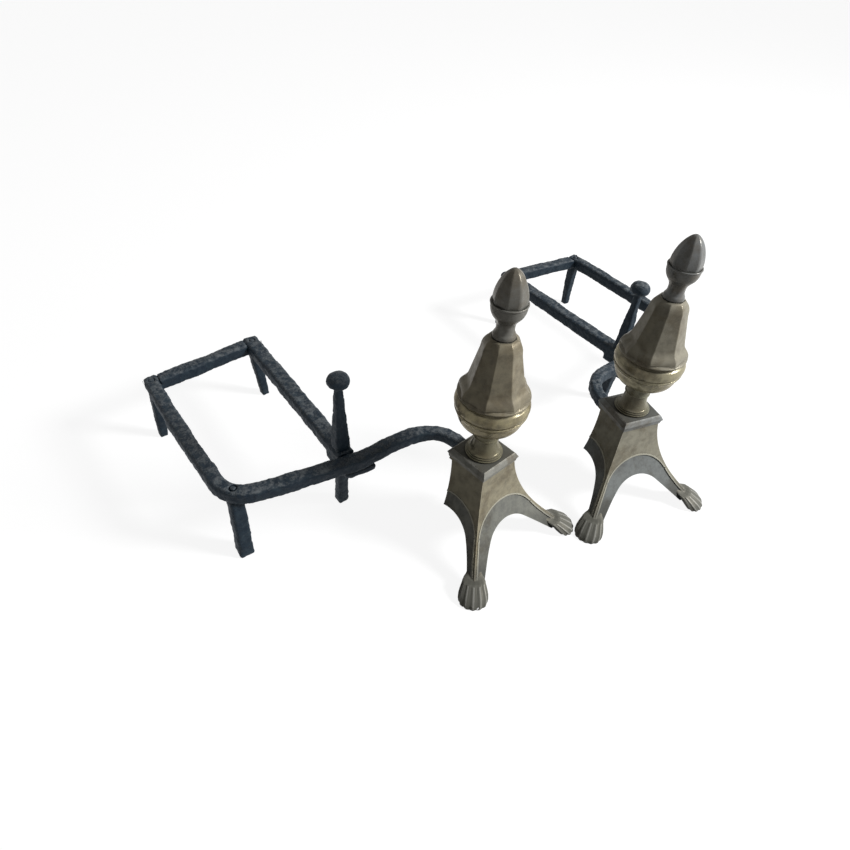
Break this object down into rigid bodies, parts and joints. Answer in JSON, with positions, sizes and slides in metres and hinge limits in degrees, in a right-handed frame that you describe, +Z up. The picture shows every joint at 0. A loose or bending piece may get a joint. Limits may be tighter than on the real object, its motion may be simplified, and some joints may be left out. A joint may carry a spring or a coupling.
{
  "type": "andiron pair",
  "caption": "Pair of andirons: faceted brass steeple columns on flared bases with paw feet, each joined by an iron gooseneck to a log rest on four legs.",
  "frame": {"origin": "middle of the pair's bounding box at hearth level", "axes": "+Z up, -Y towards the room (the brass fronts face it), +Y into the fireplace, +X to the right seen from the room"},
  "size_m": [0.922, 0.6418, 0.43],
  "materials": {
    "finial_brass": "aged brass, grey-brown patina, satin, rubbed bright at edges",
    "steeple_brass": "aged brass, mottled grey-brown patina, satin",
    "dish_brass": "aged brass, turned band rubbed bright",
    "pedestal_brass": "aged brass, turned rings",
    "plinth_brass": "aged brass, grey patina with worn edges",
    "base_brass": "aged cast brass, grey tarnish on legs and paws",
    "forged_iron": "wrought iron, blue-black, pitted, grey worn tops",
    "rod_iron": "plain dark iron rod and nut"
  },
  "bodies": {
    "root": {"left_finial": "finial_brass", "left_steeple": "steeple_brass", "left_dish": "dish_brass", "left_pedestal": "pedestal_brass", "left_plinth": "plinth_brass", "left_base": "base_brass", "left_tie_rod": "rod_iron", "left_rod_nut": "rod_iron", "left_gooseneck_bar": "forged_iron", "left_back_bar": "forged_iron", "left_inner_bar": "forged_iron", "left_log_stop": "forged_iron", "left_front_inner_leg": "forged_iron", "left_front_outer_leg": "forged_iron", "left_rear_outer_leg": "forged_iron", "left_rear_inner_leg": "forged_iron", "right_finial": "finial_brass", "right_steeple": "steeple_brass", "right_dish": "dish_brass", "right_pedestal": "pedestal_brass", "right_plinth": "plinth_brass", "right_base": "base_brass", "right_tie_rod": "rod_iron", "right_rod_nut": "rod_iron", "right_gooseneck_bar": "forged_iron", "right_back_bar": "forged_iron", "right_inner_bar": "forged_iron", "right_log_stop": "forged_iron", "right_front_inner_leg": "forged_iron", "right_front_outer_leg": "forged_iron", "right_rear_outer_leg": "forged_iron", "right_rear_inner_leg": "forged_iron"}
  },
  "joints": []
}
